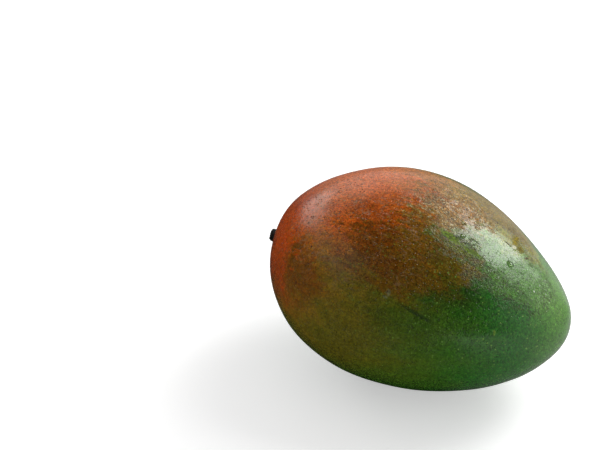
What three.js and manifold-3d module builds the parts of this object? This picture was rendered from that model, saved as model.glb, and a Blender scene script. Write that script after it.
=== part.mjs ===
// A mango lying on its cheek, in millimetres. X runs along the fruit from the stem end to the apex, Y runs across
// its shoulders, and Z is up from the surface that it lies on. The origin is on that surface, under the middle of
// the whole part.

import * as THREE from "three";
import { mergeVertices } from "three/addons/utils/BufferGeometryUtils.js";
import Module from "manifold-3d";

const wasm = await Module();
wasm.setup();

// The fruit along its own axis, across its shoulders and through its cheeks.
const LENGTH = 128;
const WIDTH = 92.5;
const THICKNESS = 82.5;

// How the girth changes from the stem end (-1) to the apex (1), as shares of the full girth.
const TAPER = 0.141;
const PINCH = 0.111;
const APEX_FILL = 0.054;

// One shoulder reaches further along the fruit than the other, and the long axis bows towards it near the apex.
// The bow's three values are its polynomial along the fruit.
const SHOULDER_SLANT = 0.096;
const BOW = [-1.36, 4.72, -10.53];

// Local forms of the skin: where each is centred on the unit sphere, how far it spreads in radians, and its height.
const STEM_BASIN = { at: [-0.994, -0.08, -0.05], spread: 0.14, height: -1.6 };
const BEAK = { at: [0.956, 0.095, 0.276], spread: 0.09, height: 0.8 };
const SINUS = { at: [0.8, 0.3, 0.52], spread: 0.16, height: -0.7 };

// The fruit lies at its natural balance, apex down, and is flat where it touches the surface.
const REST_PITCH = THREE.MathUtils.degToRad(5.2);
const FLAT_DEPTH = 1.2;

// The woody stub that stays on the fruit when it is picked: its neck, the collar that it grows from, the root
// below the skin, and how deep its broken top is. The socket is larger than the root by the gap.
const STUB_NECK_RADIUS = 2.55;
const STUB_COLLAR_RADIUS = 3.3;
const STUB_HEIGHT = 4.4;
const STUB_ROOT = 1.8;
const STUB_BREAK = 0.45;
const STUB_SIDES = 20;
const SOCKET_GAP = 0.3;

const SKIN_DETAIL = 15;
const UP = new THREE.Vector3(0, 0, 1);
const ACROSS = new THREE.Vector3(0, 1, 0);

const skinMaterial = new THREE.MeshStandardMaterial({ color: 0x6b6a2c, roughness: 0.42, metalness: 0 });
const stubMaterial = new THREE.MeshStandardMaterial({ color: 0x2a1f18, roughness: 0.85, metalness: 0 });

// A smooth hump of height 1 at its centre, which fades with the angle from it.
function hump(direction, { at, spread }) {
  const centre = new THREE.Vector3(...at).normalize();
  return Math.exp((direction.dot(centre) - 1) / spread ** 2);
}

// The point of the skin that a unit direction stands for, with the fruit already tipped to its rest.
function skinPoint(direction) {
  const { x: along, y: across, z: through } = direction;
  const ring = 1 - along ** 2;
  const girth = 1 - TAPER * along - PINCH * along ** 2 + APEX_FILL * along ** 3;
  const bow = ring * (BOW[0] + BOW[1] * along + BOW[2] * along ** 2);
  const point = new THREE.Vector3(
    (LENGTH / 2) * (along - SHOULDER_SLANT * across * ring),
    (WIDTH / 2) * across * girth + bow,
    (THICKNESS / 2) * through * girth,
  );
  for (const form of [STEM_BASIN, BEAK, SINUS]) {
    point.addScaledVector(direction, form.height * hump(direction, form));
  }
  return point.applyAxisAngle(ACROSS, REST_PITCH);
}

// The skin's outward normal at a unit direction, from two short steps to either side of it.
function skinNormal(direction) {
  const step = 0.01;
  const side = UP.clone().cross(direction).normalize();
  const other = direction.clone().cross(side);
  const slope = (way) => {
    const ahead = skinPoint(direction.clone().addScaledVector(way, step).normalize());
    const behind = skinPoint(direction.clone().addScaledVector(way, -step).normalize());
    return ahead.sub(behind);
  };
  return slope(side).cross(slope(other)).normalize();
}

// A closed geometry as a manifold solid.
function solidOf(geometry) {
  const bare = geometry.clone();
  bare.deleteAttribute("normal");
  bare.deleteAttribute("uv");
  const merged = mergeVertices(bare, 1e-4);
  return new wasm.Manifold(
    new wasm.Mesh({
      numProp: 3,
      vertProperties: merged.attributes.position.array,
      triVerts: new Uint32Array(merged.index.array),
    }),
  );
}

// A manifold solid as a geometry.
function geometryOf(solid) {
  const mesh = solid.getMesh();
  const geometry = new THREE.BufferGeometry();
  geometry.setAttribute("position", new THREE.BufferAttribute(mesh.vertProperties, mesh.numProp));
  geometry.setIndex(new THREE.BufferAttribute(mesh.triVerts, 1));
  geometry.computeVertexNormals();
  return geometry;
}

// The whole fruit before its socket is cut, standing on z = 0, and how far it was raised or lowered to stand there.
function fruitBody() {
  const body = new THREE.IcosahedronGeometry(1, SKIN_DETAIL);
  const position = body.attributes.position;
  const direction = new THREE.Vector3();
  for (let i = 0; i < position.count; i++) {
    direction.fromBufferAttribute(position, i).normalize();
    position.setXYZ(i, ...skinPoint(direction));
  }
  body.computeBoundingBox();
  const floor = body.boundingBox.min.z + FLAT_DEPTH;
  for (let i = 0; i < position.count; i++) {
    position.setZ(i, Math.max(0, position.getZ(i) - floor));
  }
  return { body, floor };
}

// The stub stands on its own Z, with z = 0 at the bottom of the stem basin. Its top is torn, not cut square.
function stubGeometry() {
  const profile = [
    [0, -STUB_ROOT],
    [STUB_COLLAR_RADIUS * 0.88, -STUB_ROOT],
    [STUB_COLLAR_RADIUS, -STUB_ROOT * 0.4],
    [STUB_COLLAR_RADIUS, STUB_HEIGHT * 0.12],
    [STUB_COLLAR_RADIUS * 0.92, STUB_HEIGHT * 0.24],
    [STUB_NECK_RADIUS * 1.05, STUB_HEIGHT * 0.38],
    [STUB_NECK_RADIUS, STUB_HEIGHT * 0.62],
    [STUB_NECK_RADIUS * 1.04, STUB_HEIGHT * 0.88],
    [STUB_NECK_RADIUS * 0.94, STUB_HEIGHT],
    [STUB_NECK_RADIUS * 0.5, STUB_HEIGHT - STUB_BREAK * 0.5],
    [0, STUB_HEIGHT - STUB_BREAK],
  ].map(([radius, height]) => new THREE.Vector2(radius, height));
  const stub = new THREE.LatheGeometry(profile, STUB_SIDES).rotateX(Math.PI / 2);
  const position = stub.attributes.position;
  for (let i = 0; i < position.count; i++) {
    const [x, y, z] = [position.getX(i), position.getY(i), position.getZ(i)];
    const torn = Math.max(0, z / STUB_HEIGHT) ** 3;
    position.setZ(i, z + STUB_BREAK * torn * Math.sin(1.3 * x + 0.6) * Math.cos(1.1 * y));
  }
  return stub;
}

// The socket is the stub's root, wider and deeper by the gap, and open at its top.
function socketGeometry() {
  const radius = STUB_COLLAR_RADIUS + SOCKET_GAP;
  const height = STUB_ROOT + SOCKET_GAP + STUB_HEIGHT;
  return new THREE.CylinderGeometry(radius, radius, height, STUB_SIDES)
    .rotateX(Math.PI / 2)
    .translate(0, 0, height / 2 - STUB_ROOT - SOCKET_GAP);
}

const { body, floor } = fruitBody();
const stemDirection = new THREE.Vector3(...STEM_BASIN.at).normalize();

const stub = new THREE.Mesh(stubGeometry(), stubMaterial);
stub.name = "stem_stub";
stub.position.copy(skinPoint(stemDirection)).addScaledVector(UP, -floor);
stub.quaternion.setFromUnitVectors(UP, skinNormal(stemDirection));
stub.updateMatrix();

const socket = socketGeometry().applyMatrix4(stub.matrix);
const fruit = new THREE.Mesh(geometryOf(solidOf(body).subtract(solidOf(socket))), skinMaterial);
fruit.name = "mango_fruit";

const mango = new THREE.Group();
mango.add(fruit, stub);

// The part's origin is under the middle of its bounding box.
const middle = new THREE.Box3().setFromObject(mango, true).getCenter(new THREE.Vector3());
mango.position.set(-middle.x, -middle.y, 0);

export default mango;
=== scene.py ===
import math

import bmesh
import bpy
import numpy as np
from mathutils import Matrix, Quaternion, Vector, bvhtree, noise


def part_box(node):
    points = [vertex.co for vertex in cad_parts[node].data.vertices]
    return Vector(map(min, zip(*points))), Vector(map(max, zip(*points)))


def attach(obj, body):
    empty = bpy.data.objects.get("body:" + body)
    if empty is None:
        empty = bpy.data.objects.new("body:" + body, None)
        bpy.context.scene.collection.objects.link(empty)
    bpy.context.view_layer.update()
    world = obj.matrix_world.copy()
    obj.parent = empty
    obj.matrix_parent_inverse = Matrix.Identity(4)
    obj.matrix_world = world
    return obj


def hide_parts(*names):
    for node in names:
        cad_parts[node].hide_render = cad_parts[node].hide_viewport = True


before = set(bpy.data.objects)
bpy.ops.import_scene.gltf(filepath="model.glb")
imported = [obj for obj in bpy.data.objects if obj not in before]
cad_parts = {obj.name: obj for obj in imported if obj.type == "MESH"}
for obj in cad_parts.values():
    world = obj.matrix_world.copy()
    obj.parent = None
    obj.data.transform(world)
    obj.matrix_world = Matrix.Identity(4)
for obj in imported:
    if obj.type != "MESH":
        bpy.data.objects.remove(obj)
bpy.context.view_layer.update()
scene = bpy.context.scene
fruit_low, fruit_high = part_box("mango_fruit")
fruit_middle = (fruit_low + fruit_high) / 2


# --- Camera -------------------------------------------------------------------------------------------------
# A long portrait lens that looks down on the fruit from the front right. It keeps its distance from the heart
# of the fruit and aims to the left of it and above it, so the fruit lies low and right in the picture.

CAMERA_AZIMUTH = math.radians(26)
CAMERA_ELEVATION = math.radians(37)
CAMERA_DISTANCE = 0.908
CAMERA_LENS = 135
PICTURE_WIDTH = 600
PICTURE_HEIGHT = 450
FRUIT_HEART = Vector((-0.00145, -0.00053, 0.04017))
AIM_LEFT = 0.0450
AIM_UP = 0.0222

to_camera = Vector((
    math.sin(CAMERA_AZIMUTH) * math.cos(CAMERA_ELEVATION),
    -math.cos(CAMERA_AZIMUTH) * math.cos(CAMERA_ELEVATION),
    math.sin(CAMERA_ELEVATION),
))
picture_right = Vector((math.cos(CAMERA_AZIMUTH), math.sin(CAMERA_AZIMUTH), 0))
picture_up = to_camera.cross(picture_right)
camera_place = FRUIT_HEART + to_camera * CAMERA_DISTANCE
camera_aim = FRUIT_HEART - picture_right * AIM_LEFT + picture_up * AIM_UP

camera_back = (camera_place - camera_aim).normalized()
camera_right = (picture_right - picture_right.dot(camera_back) * camera_back).normalized()
camera_up = camera_back.cross(camera_right)
camera_turn = Matrix((camera_right, camera_up, camera_back)).transposed().to_4x4()

camera = bpy.data.objects.new("camera", bpy.data.cameras.new("camera"))
camera.data.lens = CAMERA_LENS
camera.matrix_world = Matrix.Translation(camera_place) @ camera_turn
scene.collection.objects.link(camera)
scene.camera = camera


# --- Fruit --------------------------------------------------------------------------------------------------
# The whole fruit in its thin waxy skin, grown as one body. It is a closed mesh bent from a sphere by its own
# form: a slant of the shoulders, a bow of the long axis, a basin at the stem and a blunt beak at the apex.

FRUIT_LENGTH = 0.128
SHOULDER_WIDTH = 0.0925
CHEEK_THICKNESS = 0.0825
TAPER = 0.141
PINCH = 0.111
APEX_FILL = 0.054
SHOULDER_SLANT = 0.096
AXIS_BOW = (-0.00136, 0.00472, -0.01053)
STEM_BASIN = ((-0.994, -0.08, -0.05), 0.14, -0.0016)
BEAK = ((0.956, 0.095, 0.276), 0.09, 0.0008)
SINUS = ((0.8, 0.3, 0.52), 0.16, -0.0007)
REST_PITCH = math.radians(5.2)
FLAT_DEPTH = 0.0012
SKIN_CUTS = 118
UNEVENNESS = 0.00022
UNEVEN_SCALE = 3.1

rest_turn = np.array(Matrix.Rotation(REST_PITCH, 3, "Y"))


def fruit_surface(directions):
    """The skin's points, in metres, for rows of unit directions, with the fruit tipped to its rest."""
    along, across, through = directions.T
    ring = 1 - along**2
    girth = 1 - TAPER * along - PINCH * along**2 + APEX_FILL * along**3
    bow = ring * (AXIS_BOW[0] + AXIS_BOW[1] * along + AXIS_BOW[2] * along**2)
    points = np.stack((
        FRUIT_LENGTH / 2 * (along - SHOULDER_SLANT * across * ring),
        SHOULDER_WIDTH / 2 * across * girth + bow,
        CHEEK_THICKNESS / 2 * through * girth,
    ), axis=1)
    for centre, spread, height in (STEM_BASIN, BEAK, SINUS):
        nearness = directions @ np.array(Vector(centre).normalized()) - 1
        points += directions * (height * np.exp(nearness / spread**2))[:, None]
    return points @ rest_turn.T


def rounded_cube():
    """A sphere of even quads, as a bmesh."""
    ball = bmesh.new()
    bmesh.ops.create_cube(ball, size=2)
    bmesh.ops.subdivide_edges(ball, edges=ball.edges, cuts=SKIN_CUTS, use_grid_fill=True)
    for vertex in ball.verts:
        even = Vector(math.tan(value * math.pi / 4) for value in vertex.co)
        vertex.co = even.normalized()
    return ball


def smooth_piece(name, shape):
    """A smooth-shaded object from a bmesh."""
    mesh = bpy.data.meshes.new(name)
    shape.to_mesh(mesh)
    shape.free()
    mesh.shade_smooth()
    piece = bpy.data.objects.new(name, mesh)
    scene.collection.objects.link(piece)
    return piece


skin_shape = rounded_cube()
skin_directions = np.array([vertex.co for vertex in skin_shape.verts])
skin_points = fruit_surface(skin_directions)
# The shift that brings the apex, the middle and the flat spot to where the solid has them.
lift = np.array((
    fruit_high.x - skin_points[:, 0].max(),
    fruit_middle.y - (skin_points[:, 1].max() + skin_points[:, 1].min()) / 2,
    -skin_points[:, 2].min() - FLAT_DEPTH,
))
skin_points += lift
for vertex, direction, point in zip(skin_shape.verts, skin_directions, skin_points):
    uneven = noise.noise(Vector(direction) * UNEVEN_SCALE)
    point += direction * uneven * UNEVENNESS
    vertex.co = (point[0], point[1], max(0, point[2]))
skin_places = np.array([vertex.co for vertex in skin_shape.verts])
skin_faces = bvhtree.BVHTree.FromBMesh(skin_shape)
skin = smooth_piece("mango_skin", skin_shape)


def seen_at(across, down):
    """The place on the skin, in metres, that the camera sees at a pixel of its picture."""
    sight = camera_right * (across - PICTURE_WIDTH / 2) - camera_up * (down - PICTURE_HEIGHT / 2)
    sight -= camera_back * (PICTURE_WIDTH * CAMERA_LENS / camera.data.sensor_width)
    return np.array(skin_faces.ray_cast(camera_place, sight)[0])


def add_node(tree, kind, inputs=None, **settings):
    """A shader node with its settings. An input is given as a value, or as an output socket to link."""
    new_node = tree.nodes.new("ShaderNode" + kind)
    for name, value in settings.items():
        setattr(new_node, name, value)
    for key, value in (inputs or {}).items():
        if isinstance(value, bpy.types.NodeSocket):
            tree.links.new(value, new_node.inputs[key])
        else:
            new_node.inputs[key].default_value = value
    return new_node


def ramp(tree, value, start, end, low=0.0, high=1.0, easing="SMOOTHSTEP"):
    """The value eased from low at start to high at end."""
    inputs = {"Value": value, "From Min": start, "From Max": end, "To Min": low, "To Max": high}
    return add_node(tree, "MapRange", inputs, interpolation_type=easing).outputs["Result"]


def times(tree, first, second):
    """The product of two values."""
    return add_node(tree, "Math", {0: first, 1: second}, operation="MULTIPLY").outputs["Value"]


def plus(tree, first, second):
    """The sum of two values."""
    return add_node(tree, "Math", {0: first, 1: second}, operation="ADD").outputs["Value"]


def less(tree, first, second):
    """The first value less the second."""
    return add_node(tree, "Math", {0: first, 1: second}, operation="SUBTRACT").outputs["Value"]


def either(tree, first, second):
    """The larger of two values."""
    return add_node(tree, "Math", {0: first, 1: second}, operation="MAXIMUM").outputs["Value"]


def between(tree, amount, first, second):
    """The value that lies an amount of the way from the first to the second."""
    inputs = {"Factor": amount, "A": first, "B": second}
    return add_node(tree, "Mix", inputs, data_type="FLOAT").outputs["Result"]


def scaled(tree, vector, factor):
    """A vector or a colour times a value."""
    return add_node(tree, "VectorMath", {0: vector, "Scale": factor}, operation="SCALE").outputs["Vector"]


def moved(tree, vector, step):
    """A vector moved by another."""
    return add_node(tree, "VectorMath", {0: vector, 1: step}, operation="ADD").outputs["Vector"]


def distance(tree, place, centre):
    """How far a place is from a centre."""
    return add_node(tree, "VectorMath", {0: place, 1: centre}, operation="DISTANCE").outputs["Value"]


def stretched(tree, place, scale):
    """A place with each of its axes scaled, for noise that runs further along some axes than along others."""
    return add_node(tree, "Mapping", {"Vector": place, "Scale": scale}).outputs["Vector"]


def blend_colour(tree, amount, first, second, way="MIX"):
    """Two colours mixed by an amount."""
    inputs = {"Factor": amount, "A": first, "B": second}
    return add_node(tree, "Mix", inputs, data_type="RGBA", blend_type=way).outputs["Result"]


def grain(tree, place, size, detail=2.0, rough=0.5, kind="Fac"):
    """Soft noise with features of a size in metres."""
    inputs = {"Vector": place, "Scale": 1 / size, "Detail": detail, "Roughness": rough}
    return add_node(tree, "TexNoise", inputs).outputs[kind]


def wander(tree, place, size, detail, rough):
    """A random step, up to half a unit each way, that changes over a size in metres."""
    return moved(tree, grain(tree, place, size, detail, rough, "Color"), (-0.5, -0.5, -0.5))


def dots(tree, place, spacing, radius, edge):
    """Round dots of a spacing and a radius in metres, some of them smaller: 1 inside, 0 outside."""
    cells = add_node(tree, "TexVoronoi", {"Vector": place, "Scale": 1 / spacing})
    pick = add_node(tree, "SeparateColor", {"Color": cells.outputs["Color"]}).outputs["Red"]
    limit = ramp(tree, pick, 0.25, 1.0, 0.0, radius / spacing, "LINEAR")
    return ramp(tree, less(tree, limit, cells.outputs["Distance"]), 0.0, edge / spacing)


def creases(tree, place, size, width, curl):
    """Thin curling lines, 1 on the line, of a spacing in metres and a width as a share of it."""
    inputs = {"Vector": place, "Scale": 1 / size, "Detail": 1.5, "Roughness": 0.5, "Distortion": curl}
    height = add_node(tree, "TexNoise", inputs).outputs["Fac"]
    away = add_node(tree, "Math", {0: less(tree, height, 0.5)}, operation="ABSOLUTE").outputs["Value"]
    return ramp(tree, away, width, width * 0.2)


def spot(tree, place, centre, reach, core=0.0):
    """A soft round mask, 1 out to a share of its reach and 0 at its reach, in the fruit's half sizes."""
    return ramp(tree, distance(tree, place, centre), reach, reach * core)


def brushed(tree, place, level, touches):
    """A level that is brought to other levels by soft round touches, one over another."""
    for _, centre, reach, target in touches:
        level = between(tree, spot(tree, place, centre, reach, TOUCH_CORE), level, target)
    return level


def stroke(tree, place, start, end, width):
    """A soft mask along a short line on the fruit, with its half width, in the fruit's half sizes."""
    start, end = Vector(start), Vector(end)
    run = end - start
    inputs = {
        "Vector": place,
        "Location": (start + end) / 2,
        "Rotation": run.to_track_quat("X", "Z").to_euler(),
        "Scale": (run.length / 2, width, width),
    }
    inside = add_node(tree, "Mapping", inputs, vector_type="TEXTURE").outputs["Vector"]
    away = add_node(tree, "VectorMath", {0: inside}, operation="LENGTH").outputs["Value"]
    return ramp(tree, away, 1.0, 0.5)


# The skin's green pigment fades to gold, a red blush lies over it, and a pale waxy bloom lies over both. Each
# is brushed on in soft round touches, one over another: the place and reach of each, in half sizes of the
# fruit, and the level that it brings.
LEAF_GREEN = (0.017, 0.125, 0.009, 1)
FADED_GOLD = (0.65, 0.31, 0.008, 1)
BLUSH_TINT = (0.98, 0.25, 0.12, 1)
BLOOM_ON_RED = (0.74, 0.42, 0.17, 1)
BLOOM_ON_GREEN = (0.36, 0.63, 0.12, 1)
GREENNESS = (
    ("faded shoulder", (-0.8, -0.1, 0.7), 1.3, 0.05),
    ("dull back", (0.1, 0.9, -0.2), 1.1, 0.88),
    ("olive belly", (-0.2, -1.0, 0.0), 1.1, 0.91),
    ("golden belly", (-0.4, -1.0, 0.1), 0.75, 0.81),
    ("faded stem end", (-1.0, -0.3, 0.4), 0.7, 0.08),
    ("russet end", (-0.85, -0.75, 0.1), 0.60, 0.60),
    ("rust at the rim", (-0.85, -0.6, 0.25), 0.42, 0.30),
    ("clear red end", (-0.74, -0.50, 0.50), 0.36, 0.06),
    ("salmon strip", (-0.58, -0.46, 0.72), 0.30, 0.10),
    ("amber flank", (-0.50, -0.93, 0.25), 0.26, 0.66),
    ("russet saddle", (-0.2, -0.33, 0.95), 0.42, 0.41),
    ("dusky cheek", (-0.31, -0.7, 0.72), 0.40, 0.34),
    ("ripe flank", (-0.2, -0.95, 0.42), 0.32, 0.78),
    ("warm flank", (-0.30, -0.86, 0.50), 0.28, 0.64),
    ("umber hollow", (-0.27, -0.52, 0.88), 0.15, 0.66),
    ("rosy top", (0.0, 0.28, 0.95), 0.36, 0.42),
    ("tawny far cheek", (0.36, 0.36, 0.8), 0.44, 0.68),
    ("tawny top", (0.17, 0.05, 0.96), 0.35, 0.50),
    ("green under the dusk", (0.0, -0.65, 0.8), 0.5, 0.78),
    ("umber reach", (0.42, -0.45, 0.74), 0.20, 0.80),
    ("umber ridge", (0.01, -0.31, 0.96), 0.20, 0.76),
    ("olive shelf", (0.02, -0.46, 0.89), 0.19, 0.75),
    ("umber ledge", (0.21, -0.40, 0.88), 0.18, 0.86),
    ("lime band", (0.3, -0.27, 0.89), 0.17, 0.82),
    ("tawny edge", (0.54, 0.20, 0.71), 0.34, 0.70),
)
REDNESS = (
    ("sunny shoulder", (-0.9, -0.1, 0.8), 1.75, 1.0),
    ("brown belly", (-0.4, -1.0, 0.2), 1.0, 0.38),
    ("rusty end", (-0.85, -0.55, 0.25), 0.65, 1.0),
    ("russet flank", (-0.50, -0.82, 0.46), 0.28, 0.85),
    ("tawny far cheek", (0.35, 0.35, 0.8), 0.45, 0.35),
    ("dusky middle", (-0.05, -0.6, 0.85), 0.45, 1.0),
    ("umber band", (0.3, -0.55, 0.75), 0.46, 0.75),
    ("umber reach", (0.42, -0.45, 0.74), 0.20, 0.60),
    ("umber ridge", (0.01, -0.31, 0.96), 0.20, 0.85),
    ("olive shelf", (0.02, -0.46, 0.89), 0.19, 0.76),
    ("umber ledge", (0.21, -0.40, 0.88), 0.18, 0.82),
    ("lime band", (0.3, -0.27, 0.89), 0.17, 0.15),
)
BLOOM = (
    ("dusty shoulder", (-0.6, 0.45, 0.9), 0.85, 0.20),
    ("dusty saddle", (-0.55, -0.3, 0.8), 0.42, 0.045),
    ("grey middle", (-0.3, -0.8, 0.6), 0.45, 0.03),
    ("pale apex", (1.0, 0.1, 0.1), 0.70, 0.15),
    ("pale cheek", (0.85, 0.0, 0.5), 0.45, 0.24),
    ("bright cheek", (0.5, -0.10, 0.8), 0.32, 0.26),
    ("mint flank", (0.64, -0.25, 0.66), 0.30, 0.20),
    ("pink shoulder", (-0.62, -0.10, 0.80), 0.36, 0.20),
    ("chalky top", (0.0, 0.25, 0.95), 0.28, 0.18),
    ("chalky saddle", (0.08, -0.10, 0.98), 0.24, 0.14),
    ("lime band", (0.27, -0.25, 0.9), 0.16, 0.03),
    ("dull back", (0.1, 0.9, -0.2), 1.1, 0.07),
)
# Where the skin is wet: centres and reaches in the fruit's half sizes, and how wet each centre is.
WET_PLACES = (
    ((0.56, -0.06, 0.77), 0.46, 1.00),
    ((0.35, -0.19, 0.89), 0.26, 0.95),
    ((0.22, -0.04, 0.94), 0.34, 0.30),
    ((0.12, 0.10, 0.97), 0.44, 0.48),
    ((-0.10, 0.02, 1.00), 0.36, 0.20),
    ((0.72, -0.18, 0.60), 0.42, 0.80),
    ((0.50, -0.42, 0.69), 0.20, 0.40),
)
# The share of its reach out to which a touch, or a wet place, is at its full level.
TOUCH_CORE = 0.35
WET_CORE = 0.25

# Soft round areas, each a centre and a reach in the fruit's half sizes.
MOTTLED_SIDE = ((-0.35, -0.15, 0.85), 1.25)
CRISP_TOP = ((-0.10, -0.20, 1.00), 1.15)
CRISP_END = ((0.75, -0.45, 0.45), 0.85)
PITTED_SHOULDER = ((-0.62, -0.26, 0.76), 0.60)
GLINTING_SADDLE = ((0.17, 0.00, 0.97), 0.40)
WISPY_MIDDLE = ((-0.30, -0.45, 0.85), 0.85)
STEM_RING = (Vector(STEM_BASIN[0]).normalized(), 0.15)
# Dots on the skin: their spacing, their radius and the width of their soft edge, in metres.
PITS = (0.0011, 0.00052, 0.0002)
FINE_LENTICELS = (0.0015, 0.00045, 0.0002)
LARGE_LENTICELS = (0.0085, 0.00065, 0.0003)
# Thin curling lines: their spacing in metres, their width as a share of it, and how they curl.
WIDE_CREASES = (0.0030, 0.030, 1.5)
FINE_CREASES = (0.0016, 0.040, 1.0)
GLINT_CREASES = (0.0021, 0.062, 2.2)
WISPS = (0.0030, 0.034, 1.0)
# How far a painted glint's painted shadow lies from it, and the sizes of patches of noise, in metres.
GLINT_SHADOW_OFFSET = (0.00015, -0.00045, -0.0002)
GLINT_BREAK_SIZE = 0.0015
SPECKLE_SIZE = 0.0009
MARK_MOTTLE_SIZE = 0.0008
MARK_JITTER_SIZE = 0.0013
WISP_PATCH_SIZE = 0.012
# How far a mark's edge strays where it is ragged, in half sizes, and how long streaks run for their width.
MARK_JITTER = 0.045
STREAK_STRETCH = (0.42, 1, 1)
# How strongly each paint covers.
PIT_SHADE_STRENGTH = 0.36
GLINT_STRENGTH = 0.64
GLINT_SHADOW_STRENGTH = 0.85
SPECKLE_STRENGTH = 0.26
STEM_RING_STRENGTH = 0.85
WISP_STRENGTH = 0.42
CREASE_SHADE_STRENGTH = 0.70
PIT_SHADE_PAINT = (0.05, 0.012, 0.002, 1)
LENTICEL_PAINT = (0.21, 0.40, 0.07, 1)
SPECKLE_PAINT = (0.12, 0.30, 0.03, 1)
# Colours of the painted shadows beside the glints, and of the painted glints on red and on green skin.
GLINT_SHADOW_PAINT = (0.13, 0.05, 0.006, 1)
GLINT_PAINT_ON_RED = (1.0, 0.80, 0.50, 1)
GLINT_PAINT_ON_GREEN = (0.74, 0.82, 0.42, 1)
WISP_PAINT = (0.34, 0.21, 0.12, 1)
CREASE_SHADE_PAINT = (0.04, 0.030, 0.002, 1)
STEM_RING_PAINT = (0.030, 0.014, 0.007, 1)

colours = bpy.data.node_groups.new("mango colours", "ShaderNodeTree")
colours.interface.new_socket("Place", in_out="INPUT", socket_type="NodeSocketVector")
colours.interface.new_socket("Color", in_out="OUTPUT", socket_type="NodeSocketColor")
for mask_name in ("Wet", "Lenticels", "Scars", "Dull", "Pits", "Creases"):
    colours.interface.new_socket(mask_name, in_out="OUTPUT", socket_type="NodeSocketFloat")
group_out = colours.nodes.new("NodeGroupOutput")
place = colours.nodes.new("NodeGroupInput").outputs["Place"]
# Places as the fruit itself has them: laid level, from its middle, in its half sizes.
half_size = (FRUIT_LENGTH / 2, SHOULDER_WIDTH / 2, CHEEK_THICKNESS / 2)
on_fruit = add_node(colours, "Mapping", {
    "Vector": place, "Location": lift, "Rotation": (0, REST_PITCH, 0), "Scale": half_size,
}, vector_type="TEXTURE").outputs["Vector"]

# The blushed side is mottled, its top and the apex end are crisp, and the rest is even.
mottled = ramp(colours, spot(colours, on_fruit, *MOTTLED_SIDE), 0.03, 0.42, 0.36, 1.0)
crisp = either(colours, spot(colours, on_fruit, *CRISP_TOP), spot(colours, on_fruit, *CRISP_END))
crisp = ramp(colours, crisp, 0.05, 0.50, 0.90, 1.25)

# The touches wander off in streaks along the fruit: the size of each wander in metres, how far it goes in
# half sizes, and the share of it that each place has.
streaky = stretched(colours, place, STREAK_STRETCH)
drift = on_fruit
for size, amount, share in (
    (0.030, 0.45, 1.0),
    (0.008, 0.36, 1.0),
    (0.0024, 0.44, mottled),
    (0.0010, 0.26, mottled),
):
    step = wander(colours, streaky, size, 3.0, 0.6)
    drift = moved(colours, drift, scaled(colours, step, times(colours, share, amount)))

greenness = brushed(colours, drift, 1.0, GREENNESS)
colour = blend_colour(colours, greenness, FADED_GOLD, LEAF_GREEN)
colour = blend_colour(colours, brushed(colours, drift, 0.0, REDNESS), colour, BLUSH_TINT, "MULTIPLY")
bloom = blend_colour(colours, greenness, BLOOM_ON_RED, BLOOM_ON_GREEN)
colour = blend_colour(colours, brushed(colours, drift, 0.0, BLOOM), colour, bloom)

# Cells of the skin are lighter and darker than their neighbours: a size in metres, an amount, and its share.
for size, amount, share in (
    (0.014, 0.08, 1.0),
    (0.0035, 0.12, 1.0),
    (0.0011, 0.34, crisp),
    (0.0005, 0.56, crisp),
):
    cloud = ramp(colours, grain(colours, place, size, 4.0, 0.6), 0.3, 0.7, -amount, amount, "LINEAR")
    colour = scaled(colours, colour, plus(colours, times(colours, cloud, share), 1.0))

# Painted shade: the pits on the blushed shoulder are painted dark, as well as sunk in the relief and
# roughened.
pits_here = ramp(colours, spot(colours, on_fruit, *PITTED_SHOULDER), 0.05, 0.5, 0.25, 1.0)
pits = times(colours, dots(colours, place, *PITS), pits_here)
colour = blend_colour(colours, times(colours, pits, PIT_SHADE_STRENGTH), colour, PIT_SHADE_PAINT)

# Painted highlights: short pale flecks where the light catches the broken film of water, each with a painted
# shadow beside it.
glinting = ramp(colours, spot(colours, drift, *GLINTING_SADDLE), 0.05, 0.50, 0.0, GLINT_STRENGTH)
glint_paint = blend_colour(colours, greenness, GLINT_PAINT_ON_RED, GLINT_PAINT_ON_GREEN)
glint_shadow_place = moved(colours, place, GLINT_SHADOW_OFFSET)
for glint_place, paint, strength in (
    (glint_shadow_place, GLINT_SHADOW_PAINT, GLINT_SHADOW_STRENGTH),
    (place, glint_paint, 1.0),
):
    broken = ramp(colours, grain(colours, glint_place, GLINT_BREAK_SIZE, 2.0, 0.6), 0.50, 0.56)
    painted_glints = times(colours, creases(colours, glint_place, *GLINT_CREASES), broken)
    painted_glints = times(colours, painted_glints, times(colours, glinting, strength))
    colour = blend_colour(colours, painted_glints, colour, paint)

# Lenticels and a fine speckle, both stronger towards the apex.
lenticels = either(colours, dots(colours, place, *FINE_LENTICELS), dots(colours, place, *LARGE_LENTICELS))
along_fruit = add_node(colours, "SeparateXYZ", {"Vector": on_fruit}).outputs["X"]
apex_side = ramp(colours, along_fruit, -0.2, 0.9, 0.30, 0.95)
speckle = ramp(colours, grain(colours, place, SPECKLE_SIZE, 4.0, 0.65), 0.52, 0.60)
speckle = times(colours, speckle, times(colours, apex_side, SPECKLE_STRENGTH))
colour = blend_colour(colours, speckle, colour, SPECKLE_PAINT)
colour = blend_colour(colours, times(colours, lenticels, apex_side), colour, LENTICEL_PAINT)
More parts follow.
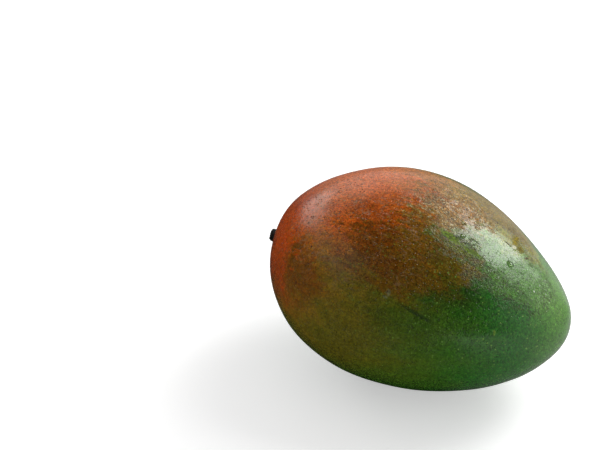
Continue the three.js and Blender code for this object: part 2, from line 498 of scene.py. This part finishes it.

# Marks of the tree and of the wet, and a painted highlight by the notch. Each is a stroke between two pixels
# of the camera's picture, with its half width in the fruit's half sizes, how ragged it is, its strength, how
# dull it is, and its paint.
MARKS = (
    ("seam", (393, 300), (438, 326), 0.026, 0.5, 0.60, 0.0, (0.010, 0.032, 0.003)),
    ("upright scuff", (389, 288), (388, 297), 0.018, 0.5, 0.60, 0.0, (0.140, 0.150, 0.070)),
    ("slanting scuff", (382, 295), (388, 299), 0.017, 0.5, 0.60, 0.0, (0.140, 0.150, 0.070)),
    ("large lenticel", (493, 333), (496, 333), 0.040, 0.6, 0.75, 0.2, (0.130, 0.240, 0.015)),
    ("lower sap speck", (311, 246), (312, 247), 0.014, 0.3, 0.90, 0.2, (0.030, 0.015, 0.004)),
    ("upper sap speck", (296, 230), (297, 231), 0.014, 0.3, 0.90, 0.2, (0.030, 0.015, 0.004)),
    ("upper lime streak", (438, 227), (464, 248), 0.040, 1.2, 0.90, 1.0, (0.125, 0.215, 0.001)),
    ("lower lime streak", (458, 244), (488, 262), 0.030, 1.2, 0.85, 1.0, (0.120, 0.215, 0.001)),
    ("scratch", (503, 240), (513, 248), 0.009, 0.1, 0.95, 0.9, (0.020, 0.028, 0.002)),
    # A painted highlight: the glint where the drop by the notch catches the light.
    ("painted glint by the notch", (512, 245), (517, 250), 0.030, 0.6, 0.80, 0.5, (0.600, 0.580, 0.400)),
    ("notch", (512, 237), (520, 244), 0.110, 2.6, 1.00, 1.0, (0.220, 0.165, 0.001)),
    ("notch foot", (517, 246), (524, 252), 0.065, 2.6, 1.00, 1.0, (0.170, 0.140, 0.001)),
    ("notch drip", (526, 257), (528, 260), 0.040, 1.0, 1.00, 0.8, (0.080, 0.050, 0.002)),
    ("notch splash", (532, 257), (532, 264), 0.050, 2.0, 0.70, 0.8, (0.160, 0.150, 0.010)),
)
# Full drops of water: the pixel that each stands at, and its radius in metres.
FULL_DROPS = (
    ("standing drop", (510, 264), 0.00140),
    ("broad drop", (463, 236), 0.00100),
    ("streak of drops", (458, 238), 0.00070),
    ("drop above it", (464, 224), 0.00080),
    ("drop in the brown", (470, 218), 0.00080),
    ("drop by the notch", (515, 249), 0.00080),
    ("small drop at the top", (434, 190), 0.00060),
    ("second at the top", (428, 196), 0.00050),
    ("third at the top", (440, 209), 0.00055),
    ("drop at the edge", (466, 251), 0.00080),
    ("drop in the shade", (481, 266), 0.00070),
)


def in_half_sizes(pixel):
    """The place on the skin that the camera sees at a pixel, in the fruit's half sizes."""
    return rest_turn.T @ (seen_at(*pixel) - lift) / half_size


mark_mottle = grain(colours, place, MARK_MOTTLE_SIZE, 3.0, 0.7)
mark_mottle = ramp(colours, mark_mottle, 0.38, 0.62, 0.35, 1.7, "LINEAR")
jitter = wander(colours, place, MARK_JITTER_SIZE, 4.0, 0.75)
scars = 0.0
dull = 0.0
for _, start, end, width, raggedness, strength, dullness, paint in MARKS:
    ragged = moved(colours, on_fruit, scaled(colours, jitter, MARK_JITTER * raggedness))
    mask = stroke(colours, ragged, in_half_sizes(start), in_half_sizes(end), width)
    mask = times(colours, mask, strength)
    colour = blend_colour(colours, mask, colour, scaled(colours, paint, mark_mottle))
    scars = either(colours, scars, mask)
    dull = either(colours, dull, times(colours, mask, dullness))
# The skin is dull in a thin ring under the rim of each full drop.
for _, pixel, radius in FULL_DROPS:
    away = distance(colours, place, seen_at(*pixel))
    inside_rim = ramp(colours, away, radius * 1.15, radius)
    outside_middle = ramp(colours, away, radius * 0.5, radius * 0.75)
    dull = either(colours, dull, times(colours, inside_rim, outside_middle))

# The skin is dried and dark in a ring round the stem.
stem_ring = ramp(colours, spot(colours, drift, *STEM_RING), 0.10, 0.45)
colour = blend_colour(colours, times(colours, stem_ring, STEM_RING_STRENGTH), colour, STEM_RING_PAINT)
scars = either(colours, scars, stem_ring)

# Pale wisps where water has dried lie over the blushed middle.
wisps = creases(colours, streaky, *WISPS)
wisps = times(colours, wisps, ramp(colours, grain(colours, place, WISP_PATCH_SIZE, 2.0), 0.44, 0.60))
wisps = times(colours, wisps, ramp(colours, spot(colours, on_fruit, *WISPY_MIDDLE), 0.05, 0.4))
colour = blend_colour(colours, times(colours, wisps, WISP_STRENGTH), colour, WISP_PAINT)

wet = 0.0
for centre, reach, wetness in WET_PLACES:
    wet = either(colours, wet, times(colours, spot(colours, drift, centre, reach, WET_CORE), wetness))
# Dark creases lie where the film of water ends, between the dry skin and the wettest: their darkness is
# painted shade, and they also sink into the relief.
film_ends = times(colours, ramp(colours, wet, 0.05, 0.35), ramp(colours, wet, 0.95, 0.6))
lines = either(colours, creases(colours, place, *WIDE_CREASES), creases(colours, place, *FINE_CREASES))
lines = times(colours, lines, film_ends)
colour = blend_colour(colours, times(colours, lines, CREASE_SHADE_STRENGTH), colour, CREASE_SHADE_PAINT)

for output_name, value in (
    ("Color", colour),
    ("Wet", wet),
    ("Lenticels", lenticels),
    ("Scars", scars),
    ("Dull", dull),
    ("Pits", pits),
    ("Creases", lines),
):
    colours.links.new(value, group_out.inputs[output_name])


def material_on(piece, name):
    """A new material on a piece: its node tree and its shader."""
    material = bpy.data.materials.new(name)
    material.use_nodes = True
    piece.data.materials.append(material)
    return material.node_tree, material.node_tree.nodes["Principled BSDF"]


# Sizes of the skin's relief and of the patches of its gloss, in metres.
MILLIMETRE = 0.001
DEW_SIZE = 1.0 * MILLIMETRE
PORE_SIZE = 0.8 * MILLIMETRE
DIMPLE_SIZE = 4.5 * MILLIMETRE
FILM_PATCH_SIZE = 3.0 * MILLIMETRE
SHEEN_PATCH_SIZE = 6.0 * MILLIMETRE
MATT_PATCH_SIZE = 1.2 * MILLIMETRE
WATER_RUN = (0.6, 1, 1)
# How far each kind of relief rises, in millimetres, and below nought how far it sinks.
DEW_RISE = 0.18
FILM_RISE = 0.09
PORE_RISE = 0.06
DIMPLE_RISE = 0.14
LENTICEL_RISE = -0.02
PIT_RISE = -0.50
CREASE_RISE = -0.035
# Roughness of the dry skin at its smoothest and roughest, what matt patches, pits and scars add to it, and
# roughness where the skin is dull, under dew and under the film of water.
DRY_ROUGHNESS = (0.14, 0.23)
MATT_ROUGHNESS = 0.09
PIT_ROUGHNESS = 0.30
SCAR_ROUGHNESS = 0.2
DULL_ROUGHNESS = 0.85
DEW_ROUGHNESS = 0.50
FILM_ROUGHNESS = 0.12
# How strongly the film of water shows, how much of the skin's relief it hides, and how it bends light.
FILM_WEIGHT = 0.50
FILM_COVER = 0.8
WATER_IOR = 1.33

tree, shader = material_on(skin, "mango skin")
place = add_node(tree, "TexCoord").outputs["Object"]
painted = add_node(tree, "Group", {"Place": place}, node_tree=colours).outputs
wet = painted["Wet"]
tree.links.new(painted["Color"], shader.inputs["Base Color"])

# A film of water lies in broken patches that run along the fruit, and dew stands around it.
unmarked = ramp(tree, either(tree, painted["Scars"], painted["Dull"]), 0.5, 0.1)
wetted = times(tree, ramp(tree, wet, 0.08, 0.50), unmarked)
run_of_water = stretched(tree, place, WATER_RUN)
film_level = grain(tree, run_of_water, FILM_PATCH_SIZE, 4.0, 0.72)
film_level = plus(tree, film_level, times(tree, wet, 0.40))
film = times(tree, ramp(tree, film_level, 0.70, 0.735), unmarked)
tree.links.new(times(tree, film, FILM_WEIGHT), shader.inputs["Coat Weight"])
shader.inputs["Coat Roughness"].default_value = FILM_ROUGHNESS
shader.inputs["Coat IOR"].default_value = WATER_IOR

bare = less(tree, 1.0, times(tree, film, FILM_COVER))
dew = ramp(tree, grain(tree, place, DEW_SIZE, 2.0, 0.60), 0.49, 0.58)
relief = times(tree, times(tree, wetted, dew), times(tree, bare, DEW_RISE))
for height, rise in (
    (film, FILM_RISE),
    (times(tree, grain(tree, place, PORE_SIZE, 2.0), bare), PORE_RISE),
    (grain(tree, place, DIMPLE_SIZE, 2.0), DIMPLE_RISE),
    (painted["Lenticels"], LENTICEL_RISE),
    (painted["Pits"], PIT_RISE),
    (painted["Creases"], CREASE_RISE),
):
    relief = plus(tree, relief, times(tree, height, rise))
bump = add_node(tree, "Bump", {"Height": relief, "Distance": MILLIMETRE})
tree.links.new(bump.outputs["Normal"], shader.inputs["Normal"])

roughness = ramp(tree, grain(tree, place, SHEEN_PATCH_SIZE, 4.0, 0.6), 0.3, 0.7, *DRY_ROUGHNESS)
matt = ramp(tree, grain(tree, place, MATT_PATCH_SIZE, 3.0, 0.65), 0.50, 0.57)
roughness = plus(tree, roughness, times(tree, matt, MATT_ROUGHNESS))
roughness = plus(tree, roughness, times(tree, painted["Pits"], PIT_ROUGHNESS))
wet_roughness = ramp(tree, film, 0.0, 1.0, DEW_ROUGHNESS, FILM_ROUGHNESS, "LINEAR")
roughness = between(tree, wetted, roughness, wet_roughness)
roughness = plus(tree, roughness, times(tree, painted["Scars"], SCAR_ROUGHNESS))
roughness = either(tree, roughness, times(tree, painted["Dull"], DULL_ROUGHNESS))
tree.links.new(roughness, shader.inputs["Roughness"])

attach(skin, "root")
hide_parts("mango_fruit")


# --- Stem stub ----------------------------------------------------------------------------------------------
# The short end of the stalk that stays on when the fruit is picked: dark dried wood with grooved bark, torn
# off across its fibres. It grows out of a cracked corky collar, whose root is sunk in the basin of the fruit.

STUB_NECK_RADIUS = 0.00255
STUB_COLLAR_RADIUS = 0.0033
STUB_HEIGHT = 0.0044
STUB_ROOT = 0.0018
STUB_BREAK = 0.00045
STUB_PROFILE = (
    (0.0, -STUB_ROOT),
    (STUB_COLLAR_RADIUS * 0.86, -STUB_ROOT),
    (STUB_COLLAR_RADIUS * 0.97, -STUB_ROOT * 0.5),
    (STUB_COLLAR_RADIUS, 0.0),
    (STUB_COLLAR_RADIUS * 0.99, STUB_HEIGHT * 0.12),
    (STUB_COLLAR_RADIUS * 0.90, STUB_HEIGHT * 0.24),
    (STUB_NECK_RADIUS * 1.04, STUB_HEIGHT * 0.38),
    (STUB_NECK_RADIUS * 0.98, STUB_HEIGHT * 0.60),
    (STUB_NECK_RADIUS * 1.02, STUB_HEIGHT * 0.86),
    (STUB_NECK_RADIUS * 0.95, STUB_HEIGHT * 0.97),
    (STUB_NECK_RADIUS * 0.84, STUB_HEIGHT),
    (STUB_NECK_RADIUS * 0.45, STUB_HEIGHT - STUB_BREAK * 0.6),
    (0.0, STUB_HEIGHT - STUB_BREAK),
)
STUB_RINGS = 60
STUB_SIDES = 96
GROOVE_DEPTH = 0.00022
CRACK_DEPTH = 0.00090
FIBRE_HEIGHT = 0.00034
# Noise over the bark: how quickly it changes round the stub, and up it.
BROAD_GROOVES = (3.4, 320)
NARROW_GROOVES = (8.5, 500)
CRACKS = (5.5, 150)
BROAD_FIBRES = 1500
FINE_FIBRES = 3600
BARK_DARK = (0.005, 0.004, 0.004, 1)
BARK_LIGHT = (0.040, 0.027, 0.020, 1)
BARK_TEAL_GLINT = (0.008, 0.040, 0.042, 1)
TORN_DARK = (0.030, 0.018, 0.010, 1)
TORN_LIGHT = (0.150, 0.095, 0.050, 1)
CORK = (0.090, 0.050, 0.026, 1)
FIBRE_STRETCH = (1, 1, 0.22)
FIBRE_SIZE = 0.00035
BARK_MOTTLE_SIZE = 0.0011
BARK_RELIEF = 0.0003
BARK_ROUGHNESS = (0.75, 0.42)
# The skin's slope is read over a short step each way, the first of them square to this slanting direction.
SLOPE_STEP = 0.002
SLANTING = (0.31, 0.87, -0.38)


def unit(rows):
    """Rows scaled to length one."""
    return rows / np.linalg.norm(rows, axis=1)[:, None]


def on_skin(directions):
    """The skin's points for unit directions, and the way across and the way out from the skin there."""
    places = fruit_surface(directions) + lift
    first_way = unit(np.cross(directions, np.array(SLANTING)))
    second_way = np.cross(directions, first_way)
    first_slope = fruit_surface(unit(directions + first_way * SLOPE_STEP)) + lift - places
    second_slope = fruit_surface(unit(directions + second_way * SLOPE_STEP)) + lift - places
    outward = unit(np.cross(first_slope, second_slope))
    outward *= np.sign((outward * directions).sum(axis=1))[:, None]
    return places, unit(first_slope), outward


def bark_noise(turn, up, around, upward, start=(0, 0)):
    """Noise over the bark at a direction round the stub and a height up it."""
    return noise.noise(turn * around + Vector((*start, up * upward)))


def stub_point(out, up, angle):
    """A point of the stub on its own axis, for a radius, a height and an angle of its smooth form."""
    turn = Vector((math.cos(angle), math.sin(angle), 0))
    edge = min(1, out / (STUB_NECK_RADIUS * 0.8))
    above = min(1, max(0, up / STUB_HEIGHT))
    groove = bark_noise(turn, up, *BROAD_GROOVES) + 0.6 * bark_noise(turn, up, *NARROW_GROOVES)
    crack = max(0, bark_noise(turn, up, *CRACKS, (4, 2)) - 0.12) * (1 - above) ** 2
    out += edge * (GROOVE_DEPTH * groove - CRACK_DEPTH * crack)
    flat = turn * out
    torn = noise.noise(flat * BROAD_FIBRES) + 0.7 * noise.noise(flat * FINE_FIBRES)
    return Vector((flat.x, flat.y, up + above**6 * FIBRE_HEIGHT * torn))


profile_out, profile_up = np.array(STUB_PROFILE).T
profile_run = np.concatenate([[0], np.cumsum(np.hypot(np.diff(profile_out), np.diff(profile_up)))])
ring_runs = np.linspace(0, profile_run[-1], STUB_RINGS + 1)[1:-1]
ring_outs = np.interp(ring_runs, profile_run, profile_out)
ring_ups = np.interp(ring_runs, profile_run, profile_up)

stub_shape = bmesh.new()
stub_bottom = stub_shape.verts.new(stub_point(0, -STUB_ROOT, 0))
stub_top = stub_shape.verts.new(stub_point(0, STUB_HEIGHT - STUB_BREAK, 0))
rings = []
for out, up in zip(ring_outs, ring_ups):
    angles = [2 * math.pi * side / STUB_SIDES for side in range(STUB_SIDES)]
    rings.append([stub_shape.verts.new(stub_point(out, up, angle)) for angle in angles])
for lower, upper in zip(rings, rings[1:]):
    for side in range(STUB_SIDES):
        after = (side + 1) % STUB_SIDES
        stub_shape.faces.new((lower[side], lower[after], upper[after], upper[side]))
for side in range(STUB_SIDES):
    after = (side + 1) % STUB_SIDES
    stub_shape.faces.new((rings[0][after], rings[0][side], stub_bottom))
    stub_shape.faces.new((rings[-1][side], rings[-1][after], stub_top))

stub_places, _, stub_axes = on_skin(unit(np.array([STEM_BASIN[0]])))
stub_turn = Vector(stub_axes[0]).to_track_quat("Z", "Y").to_matrix().to_4x4()
stub_shape.transform(Matrix.Translation(stub_places[0]) @ stub_turn)
stub = smooth_piece("dried_stalk", stub_shape)

tree, shader = material_on(stub, "dried stalk")
along_stub = add_node(tree, "Mapping", {
    "Vector": add_node(tree, "TexCoord").outputs["Object"],
    "Location": Vector(stub_places[0]),
    "Rotation": stub_turn.to_euler(),
}, vector_type="TEXTURE").outputs["Vector"]
fibres = grain(tree, stretched(tree, along_stub, FIBRE_STRETCH), FIBRE_SIZE, 4.0, 0.65)
mottle = grain(tree, along_stub, BARK_MOTTLE_SIZE, 4.0, 0.6)
bark = blend_colour(tree, ramp(tree, fibres, 0.38, 0.66), BARK_DARK, BARK_LIGHT)
# Painted reflection: teal patches in the bark's mottle stand for a blue-green glint on the dark bark.
bark = blend_colour(tree, ramp(tree, mottle, 0.52, 0.62), bark, BARK_TEAL_GLINT)
height_up = add_node(tree, "SeparateXYZ", {"Vector": along_stub}).outputs["Z"]
torn_end = ramp(tree, height_up, STUB_HEIGHT * 0.90, STUB_HEIGHT * 0.99)
torn_wood = blend_colour(tree, ramp(tree, fibres, 0.4, 0.6), TORN_DARK, TORN_LIGHT)
bark = blend_colour(tree, times(tree, torn_end, 0.7), bark, torn_wood)
collar = ramp(tree, height_up, STUB_HEIGHT * 0.34, STUB_HEIGHT * 0.10)
bark = blend_colour(tree, times(tree, collar, ramp(tree, mottle, 0.35, 0.6)), bark, CORK)
tree.links.new(bark, shader.inputs["Base Color"])
bark_height = plus(tree, times(tree, fibres, 0.5), times(tree, mottle, 0.5))
bark_bump = add_node(tree, "Bump", {"Height": bark_height, "Distance": BARK_RELIEF})
tree.links.new(bark_bump.outputs["Normal"], shader.inputs["Normal"])
tree.links.new(ramp(tree, mottle, 0.35, 0.65, *BARK_ROUGHNESS), shader.inputs["Roughness"])

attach(stub, "root")
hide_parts("stem_stub")


# --- Water beads --------------------------------------------------------------------------------------------
# Drops of water that stand on the wet upper side, from a fine dew to a few full drops. Each is a low clear
# dome with an uneven rim that sits a little in the skin, and takes the skin's colour from under it.

BEAD_SEED = 11
BEAD_TRIES = 60000
BEAD_COUNT = 170
BEAD_RADIUS = 0.00020
BEAD_SPREAD = 0.40
LARGEST_BEAD = 0.0008
BEAD_SIDES = 10
# The rings of a bead, how far out and how far up each is, then its top, its root and its unevenness, all as
# shares of its radius, and how many times as tall a full drop stands.
BEAD_PROFILE = ((1.0, -0.12), (0.88, 0.12), (0.52, 0.25))
BEAD_TOP = 0.29
BEAD_ROOT = 0.12
BEAD_UNEVENNESS = 0.10
DROP_STRETCH = 2.0
WATER_TINT = (0.96, 0.98, 0.91, 1)
RIPPLE_SIZE = 0.0008
RIPPLE_HEIGHT = 0.00004
BEAD_ROUGHNESS = 0.10
# A little above water's own, so that the smallest beads still catch the light.
BEAD_IOR = 1.40

chance = np.random.default_rng(BEAD_SEED)
tries = unit(chance.normal(size=(BEAD_TRIES, 3)))
wetness = np.zeros(len(tries))
for centre, reach, strength in WET_PLACES:
    nearness = np.clip(1 - np.linalg.norm(tries - centre, axis=1) / reach, 0, 1)
    wetness = np.maximum(wetness, strength * nearness)
tries = tries[chance.random(len(tries)) < wetness][:BEAD_COUNT]
dew_radii = np.minimum(BEAD_RADIUS * np.exp(chance.normal(size=len(tries)) * BEAD_SPREAD), LARGEST_BEAD)
drop_directions = []
for _, pixel, _ in FULL_DROPS:
    nearest = np.linalg.norm(skin_places - seen_at(*pixel), axis=1).argmin()
    drop_directions.append(skin_directions[nearest])
bead_directions = unit(np.concatenate([tries, drop_directions]))
bead_radii = np.concatenate([dew_radii, [radius for _, _, radius in FULL_DROPS]])
bead_stretches = [1.0] * len(dew_radii) + [DROP_STRETCH] * len(FULL_DROPS)
bead_places, bead_across, bead_normals = on_skin(bead_directions)
bead_along = np.cross(bead_normals, bead_across)


def bead_points(middle, normal, across, along, radius, stretch):
    """The points of one bead: its rings from the rim up, its top and its root."""
    lobes = chance.normal(size=4) * BEAD_UNEVENNESS
    points = []
    for out, up in BEAD_PROFILE:
        for side in range(BEAD_SIDES):
            angle = 2 * math.pi * side / BEAD_SIDES
            wobble = 1 + lobes[0] * math.cos(2 * angle) + lobes[1] * math.sin(2 * angle)
            wobble += lobes[2] * math.cos(3 * angle) + lobes[3] * math.sin(3 * angle)
            offset = across * math.cos(angle) + along * math.sin(angle)
            points.append(middle + offset * radius * out * wobble + normal * radius * up * stretch)
    points.append(middle + normal * radius * BEAD_TOP * stretch)
    points.append(middle - normal * radius * BEAD_ROOT)
    return points


def bead_faces(first):
    """The faces of one bead, by the numbers of its points from the first."""
    last_ring = first + (len(BEAD_PROFILE) - 1) * BEAD_SIDES
    top = last_ring + BEAD_SIDES
    root = top + 1
    faces = []
    for side in range(BEAD_SIDES):
        after = (side + 1) % BEAD_SIDES
        for low in range(first, last_ring, BEAD_SIDES):
            high = low + BEAD_SIDES
            faces.append((low + side, low + after, high + after, high + side))
        faces.append((last_ring + side, last_ring + after, top))
        faces.append((first + after, first + side, root))
    return faces


all_points = []
all_faces = []
for bead in zip(bead_places, bead_normals, bead_across, bead_along, bead_radii, bead_stretches):
    all_faces += bead_faces(len(all_points))
    all_points += bead_points(*bead)
bead_mesh = bpy.data.meshes.new("water_beads")
bead_mesh.from_pydata([tuple(point) for point in all_points], [], all_faces)
bead_mesh.shade_smooth()
beads = bpy.data.objects.new("water_beads", bead_mesh)
scene.collection.objects.link(beads)

tree, shader = material_on(beads, "water on skin")
place = add_node(tree, "TexCoord").outputs["Object"]
ripples = grain(tree, place, RIPPLE_SIZE, 1.0)
ripple = add_node(tree, "Bump", {"Height": ripples, "Distance": RIPPLE_HEIGHT})
tree.links.new(ripple.outputs["Normal"], shader.inputs["Normal"])
shader.inputs["Base Color"].default_value = WATER_TINT
shader.inputs["Roughness"].default_value = BEAD_ROUGHNESS
shader.inputs["IOR"].default_value = BEAD_IOR
shader.inputs["Transmission Weight"].default_value = 1.0
# Clear drops throw no shadow on the skin.
beads.visible_shadow = False

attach(beads, "root")


# --- Studio -------------------------------------------------------------------------------------------------
# The fruit lies on a plain pale floor in a pale room. A bright softbox with a wide one round it stands behind
# on the right, and weaker ones stand on the left. In the skin's gloss the floor is bright only at the back
# and towards the bright softbox.

FLOOR_HALF_SIZE = 6
FLOOR_DROP = 0.00005
FLOOR_PALE = (0.92, 0.92, 0.92, 1)
FLOOR_IN_GLOSS = (0.03, 0.03, 0.03, 1)
FLOOR_ROUGHNESS = 0.9
FLOOR_LIT = 0.45
TOWARDS_LIGHT = (0.93, 0.37, 0)
TOWARDS_BACK = (0.5, 0.866, 0)
LIGHT_SIDE_GLOW = 0.68
BACK_SIDE_GLOW = 0.14
ROOM_GLOW = 0.85
ROOM_FILL = 0.3
ROOM_FILL_IN_GLOSS = 0.012
# Each soft light: its azimuth from the back, +Y, towards the apex, its elevation, its distance, its width and
# height, its radiance, and how far its top leans towards the apex. Angles are in degrees.
SOFTBOXES = (
    ("softbox behind", 30, 43, 1.00, 0.36, 0.66, 4.10, 34),
    ("softbox around it", 27, 40, 1.05, 0.75, 0.90, 1.90, 34),
    ("softbox left", -67, 19, 1.00, 0.58, 0.28, 1.60, 32),
    ("softbox above left", -54, 32, 1.00, 0.56, 0.50, 0.35, 0),
    ("softbox left end", -90, 32, 1.00, 0.28, 0.26, 0.60, 32),
    ("softbox front left", -124, 41, 1.00, 0.80, 0.50, 0.34, 0),
)


def reach_towards(tree, place, way):
    """How far a place lies in a direction."""
    return add_node(tree, "VectorMath", {0: place, 1: way}, operation="DOT_PRODUCT").outputs["Value"]


floor_shape = bmesh.new()
bmesh.ops.create_grid(floor_shape, x_segments=1, y_segments=1, size=FLOOR_HALF_SIZE)
floor = smooth_piece("floor", floor_shape)
floor.location.z = -FLOOR_DROP
tree, shader = material_on(floor, "pale floor")
place = add_node(tree, "TexCoord").outputs["Object"]
ray = add_node(tree, "LightPath").outputs
light_side = ramp(tree, reach_towards(tree, place, TOWARDS_LIGHT), 0.005, 0.12, 0.0, LIGHT_SIDE_GLOW)
back_side = ramp(tree, reach_towards(tree, place, TOWARDS_BACK), 0.0, 0.08, 0.0, BACK_SIDE_GLOW)
mirrored = times(tree, either(tree, light_side, back_side), ray["Is Glossy Ray"])
lit = plus(tree, times(tree, ray["Is Camera Ray"], FLOOR_LIT), mirrored)
tree.links.new(lit, shader.inputs["Emission Strength"])
pale = blend_colour(tree, ray["Is Glossy Ray"], FLOOR_PALE, FLOOR_IN_GLOSS)
tree.links.new(pale, shader.inputs["Base Color"])
shader.inputs["Emission Color"].default_value = (1, 1, 1, 1)
shader.inputs["Roughness"].default_value = FLOOR_ROUGHNESS
shader.inputs["Specular IOR Level"].default_value = 0

for name, azimuth, elevation, distance_out, width, height, radiance, roll in SOFTBOXES:
    light = bpy.data.lights.new(name, "AREA")
    light.shape = "RECTANGLE"
    light.size = width
    light.size_y = height
    light.energy = radiance * math.pi * width * height
    softbox = bpy.data.objects.new(name, light)
    turn = math.radians(azimuth)
    rise = math.radians(elevation)
    away = Vector((math.sin(turn) * math.cos(rise), math.cos(turn) * math.cos(rise), math.sin(rise)))
    lean = Quaternion((0, 0, 1), math.radians(roll))
    softbox.location = fruit_middle + away * distance_out
    softbox.rotation_euler = (away.to_track_quat("Z", "Y") @ lean).to_euler()
    scene.collection.objects.link(softbox)

# The room fills the shadows, and in the skin's gloss it is dark but for a glow low down at the back.
world = bpy.data.worlds.new("studio")
world.use_nodes = True
tree = world.node_tree
sky = tree.nodes["Background"]
sky.inputs["Color"].default_value = (1, 1, 1, 1)
sky_way = add_node(tree, "TexCoord").outputs["Generated"]
sky_height = add_node(tree, "SeparateXYZ", {"Vector": sky_way}).outputs["Z"]
ray = add_node(tree, "LightPath").outputs
low_down = ramp(tree, sky_height, 0.92, 0.3)
at_back = ramp(tree, reach_towards(tree, sky_way, TOWARDS_BACK), -0.25, 0.6, 0.0, ROOM_GLOW)
fill = ramp(tree, ray["Is Glossy Ray"], 0.0, 1.0, ROOM_FILL, ROOM_FILL_IN_GLOSS, "LINEAR")
room = plus(tree, times(tree, low_down, at_back), fill)
tree.links.new(between(tree, ray["Is Camera Ray"], room, 1.0), sky.inputs["Strength"])
scene.world = world
scene.view_settings.view_transform = "Standard"
